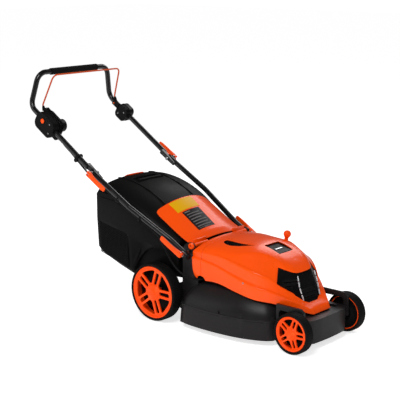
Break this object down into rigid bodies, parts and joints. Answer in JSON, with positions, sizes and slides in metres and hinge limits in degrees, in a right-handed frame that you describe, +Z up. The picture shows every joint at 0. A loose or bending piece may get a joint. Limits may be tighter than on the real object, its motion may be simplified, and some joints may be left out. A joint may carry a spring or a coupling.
{
  "type": "rotary lawn mower",
  "caption": "Hand-pushed corded rotary lawn mower with an orange hood, a rear grass box, spoked wheels and a folding tube handle.",
  "frame": {"origin": "middle of the bounding box's floor, on the ground", "axes": "+Y back towards the handle, +X to the mower's left, +Z up"},
  "size_m": [0.476, 1.2838, 0.8486],
  "materials": {
    "hood_orange": "glossy moulded ABS",
    "trim_orange": "satin moulded plastic",
    "rim_orange": "satin moulded polypropylene",
    "tyre_black": "fine cross ribs",
    "deck_black": "soft sheen moulding",
    "box_black": "grained moulding",
    "trim_black": "fine grained moulding",
    "grip_foam": "soft foam sleeve",
    "tube_black": "gloss powder coat",
    "bail_coated": "coated wire",
    "cable_black": "smooth sheath",
    "zinc_steel": "zinc-plated steel",
    "blade_steel": "ground edge",
    "motor_case": "dipped windings and case",
    "silver_strip": "bright foil"
  },
  "bodies": {
    "chassis": {"deck": "deck_black", "motor_hood": "hood_orange", "front_grille": "trim_black", "grille_trim_left": "silver_strip", "grille_trim_right": "silver_strip", "top_plate": "trim_black", "grip_inlay": "trim_black", "motor": "motor_case", "flap_pin": "zinc_steel", "flap_boss_left": "hood_orange", "flap_boss_right": "hood_orange", "lower_bolt_left": "zinc_steel", "lower_bolt_right": "zinc_steel", "cable_tail": "cable_black"},
    "front_axle_body": {"front_axle": "zinc_steel"},
    "rear_axle_body": {"rear_axle": "zinc_steel"},
    "tie_rod_body": {"tie_rod": "zinc_steel"},
    "height_lever": {"height_lever_arm": "zinc_steel", "height_lever_knob": "trim_orange"},
    "rotor": {"motor_shaft": "zinc_steel", "impeller": "trim_orange", "blade": "blade_steel", "blade_bolt": "zinc_steel"},
    "flap": {"rear_flap": "hood_orange"},
    "grass_box": {"grass_box_tub": "box_black", "grass_box_lid": "box_black", "grass_box_grip": "box_black"},
    "level_indicator": {"level_flap": "trim_orange"},
    "lower_handle": {"lower_tube_left": "tube_black", "lower_tube_right": "tube_black", "upper_bolt_left": "zinc_steel", "upper_bolt_right": "zinc_steel", "cable_loop": "cable_black", "cable_lower": "cable_black"},
    "upper_handle": {"upper_tube": "tube_black", "grip_sleeve": "grip_foam", "switch_box": "trim_black", "inlet_socket": "trim_black", "cable_gland": "trim_black", "bail_box": "trim_black", "cable_upper": "cable_black", "cable_clip": "trim_black"},
    "bail_body": {"bail": "bail_coated"},
    "button_body": {"lock_button": "trim_orange"},
    "front_wheel_right": {"tyre_front_right": "tyre_black", "rim_front_right": "rim_orange"},
    "rear_wheel_right": {"tyre_rear_right": "tyre_black", "rim_rear_right": "rim_orange"},
    "lower_cam_right": {"lower_lever_right": "trim_orange"},
    "upper_cam_right": {"upper_lever_right": "trim_orange"},
    "front_wheel_left": {"tyre_front_left": "tyre_black", "rim_front_left": "rim_orange"},
    "rear_wheel_left": {"tyre_rear_left": "tyre_black", "rim_rear_left": "rim_orange"},
    "lower_cam_left": {"lower_lever_left": "trim_orange"},
    "upper_cam_left": {"upper_lever_left": "trim_orange"}
  },
  "joints": [
    {"name": "front_axle_swing", "type": "hinge", "parent": "chassis", "child": "front_axle_body", "pos_m": [0, -0.53565, 0.0531], "axis": [1, 0, 0], "range_deg": [0, 60]},
    {"name": "rear_axle_swing", "type": "hinge", "parent": "chassis", "child": "rear_axle_body", "pos_m": [0, 0.03835, 0.0881], "axis": [1, 0, 0], "range_deg": [0, 60]},
    {"name": "tie_rod_swing", "type": "hinge", "parent": "front_axle_body", "child": "tie_rod_body", "pos_m": [0.084, -0.50815, 0.10073], "axis": [1, 0, 0], "range_deg": [-60, 0]},
    {"name": "height_lever_swing", "type": "hinge", "parent": "chassis", "child": "height_lever", "pos_m": [0.105, -0.3159, 0.216], "axis": [1, 0, 0], "range_deg": [-30, 0]},
    {"name": "rotor_spin", "type": "hinge", "parent": "chassis", "child": "rotor", "pos_m": [0, -0.2949, 0.06], "axis": [0, 0, 1], "continuous": true},
    {"name": "flap_swing", "type": "hinge", "parent": "chassis", "child": "flap", "pos_m": [0, -0.1319, 0.286], "axis": [1, 0, 0], "range_deg": [0, 48]},
    {"name": "grass_box_slide", "type": "slide", "parent": "chassis", "child": "grass_box", "axis": [0, 0.8821, 0.4711], "range_m": [0, 0.36]},
    {"name": "level_flap_swing", "type": "hinge", "parent": "grass_box", "child": "level_indicator", "pos_m": [0, 0.2781, 0.47], "axis": [1, 0, 0], "range_deg": [0, 35]},
    {"name": "lower_fold", "type": "hinge", "parent": "chassis", "child": "lower_handle", "pos_m": [0, -0.1199, 0.263], "axis": [1, 0, 0], "range_deg": [0, 120]},
    {"name": "upper_fold", "type": "hinge", "parent": "lower_handle", "child": "upper_handle", "pos_m": [0, 0.2991, 0.495], "axis": [-1, 0, 0], "range_deg": [-125, 0]},
    {"name": "bail_swing", "type": "hinge", "parent": "upper_handle", "child": "bail_body", "pos_m": [0, 0.5801, 0.69], "axis": [-1, 0, 0], "range_deg": [0, 22], "stiffness_Nm_per_rad": 0.4, "springref_deg": -8.59},
    {"name": "lock_button_press", "type": "slide", "parent": "upper_handle", "child": "button_body", "axis": [1, 0, 0], "range_m": [0, 0.0025], "stiffness_N_per_m": 150, "springref_m": -0.002},
    {"name": "front_wheel_right_spin", "type": "hinge", "parent": "front_axle_body", "child": "front_wheel_right", "pos_m": [-0.152, -0.5719, 0.07], "axis": [1, 0, 0], "continuous": true},
    {"name": "rear_wheel_right_spin", "type": "hinge", "parent": "rear_axle_body", "child": "rear_wheel_right", "pos_m": [-0.196, 0.0021, 0.105], "axis": [1, 0, 0], "continuous": true},
    {"name": "lower_lever_right_swing", "type": "hinge", "parent": "chassis", "child": "lower_cam_right", "pos_m": [-0.202, -0.1199, 0.263], "axis": [0, -0.4844, 0.8748], "range_deg": [0, 95]},
    {"name": "upper_lever_right_swing", "type": "hinge", "parent": "lower_handle", "child": "upper_cam_right", "pos_m": [-0.23, 0.2991, 0.495], "axis": [0, 0.4844, -0.8748], "range_deg": [0, 95]},
    {"name": "front_wheel_left_spin", "type": "hinge", "parent": "front_axle_body", "child": "front_wheel_left", "pos_m": [0.152, -0.5719, 0.07], "axis": [1, 0, 0], "continuous": true},
    {"name": "rear_wheel_left_spin", "type": "hinge", "parent": "rear_axle_body", "child": "rear_wheel_left", "pos_m": [0.196, 0.0021, 0.105], "axis": [1, 0, 0], "continuous": true},
    {"name": "lower_lever_left_swing", "type": "hinge", "parent": "chassis", "child": "lower_cam_left", "pos_m": [0.202, -0.1199, 0.263], "axis": [0, 0.4844, -0.8748], "range_deg": [0, 95]},
    {"name": "upper_lever_left_swing", "type": "hinge", "parent": "lower_handle", "child": "upper_cam_left", "pos_m": [0.23, 0.2991, 0.495], "axis": [0, 0.4844, -0.8748], "range_deg": [0, 95]}
  ],
  "couplings": [
    {"joint": "rear_axle_swing", "follows": "front_axle_swing", "ratio": 1},
    {"joint": "tie_rod_swing", "follows": "front_axle_swing", "ratio": -1},
    {"joint": "height_lever_swing", "follows": "front_axle_swing", "ratio": -0.5}
  ]
}
